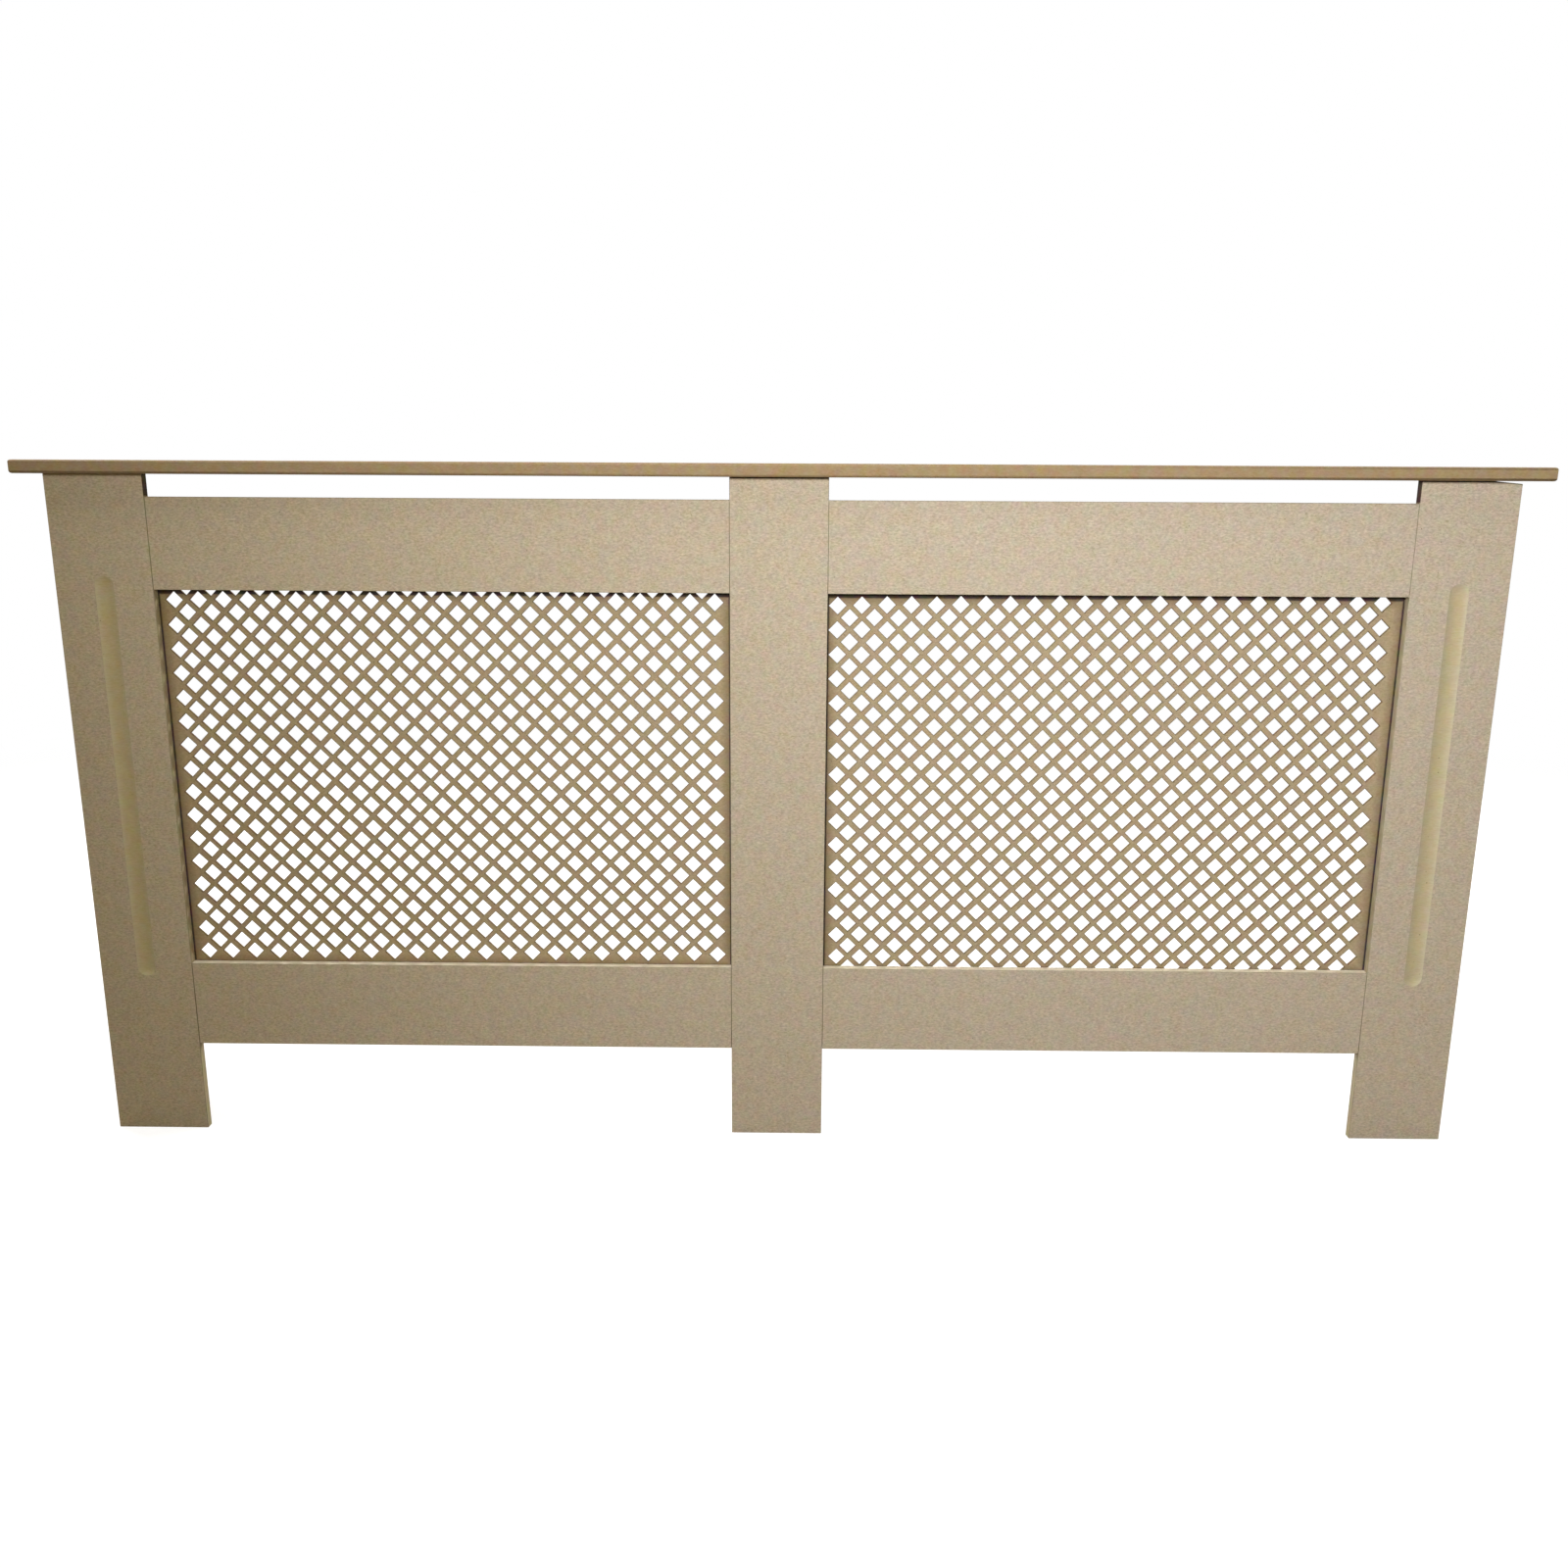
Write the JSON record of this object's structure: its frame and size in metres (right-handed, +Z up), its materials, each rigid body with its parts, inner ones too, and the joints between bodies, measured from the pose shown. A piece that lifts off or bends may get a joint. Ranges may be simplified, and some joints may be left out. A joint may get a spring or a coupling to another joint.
{
  "type": "radiator cover cabinet",
  "caption": "Raw fibreboard radiator cover with a thin overhanging shelf, a framed front with diamond lattice panels, fluted end stiles and an open back.",
  "frame": {"origin": "on the floor, below the middle of the shelf's outline", "axes": "+X along the shelf, to the right seen from the front; +Y from the front to the wall; +Z up"},
  "size_m": [1.72, 0.19, 0.815],
  "materials": {
    "raw_board": "unpainted medium density fibreboard, matt",
    "lattice_board": "unpainted thin fibreboard, cut by machine, matt",
    "zinc_steel": "bright zinc plate",
    "screw_steel": "zinc plated",
    "block_plastic": "moulded, off-white"
  },
  "bodies": {
    "root": {"top_shelf": "raw_board", "left_end_stile": "raw_board", "centre_stile": "raw_board", "right_end_stile": "raw_board", "left_top_rail": "raw_board", "right_top_rail": "raw_board", "left_bottom_rail": "raw_board", "right_bottom_rail": "raw_board", "left_side_panel": "raw_board", "right_side_panel": "raw_board", "left_lattice_panel": "lattice_board", "right_lattice_panel": "lattice_board", "left_joining_plates": "zinc_steel", "left_corner_blocks": "block_plastic", "left_corner_block_screws": "screw_steel", "left_shelf_blocks": "block_plastic", "left_shelf_block_screws": "screw_steel", "left_wall_bracket": "zinc_steel", "left_wall_bracket_screws": "screw_steel", "right_joining_plates": "zinc_steel", "right_corner_blocks": "block_plastic", "right_corner_block_screws": "screw_steel", "right_shelf_blocks": "block_plastic", "right_shelf_block_screws": "screw_steel", "right_wall_bracket": "zinc_steel", "right_wall_bracket_screws": "screw_steel", "centre_shelf_blocks": "block_plastic", "centre_shelf_block_screws": "screw_steel"}
  },
  "joints": []
}
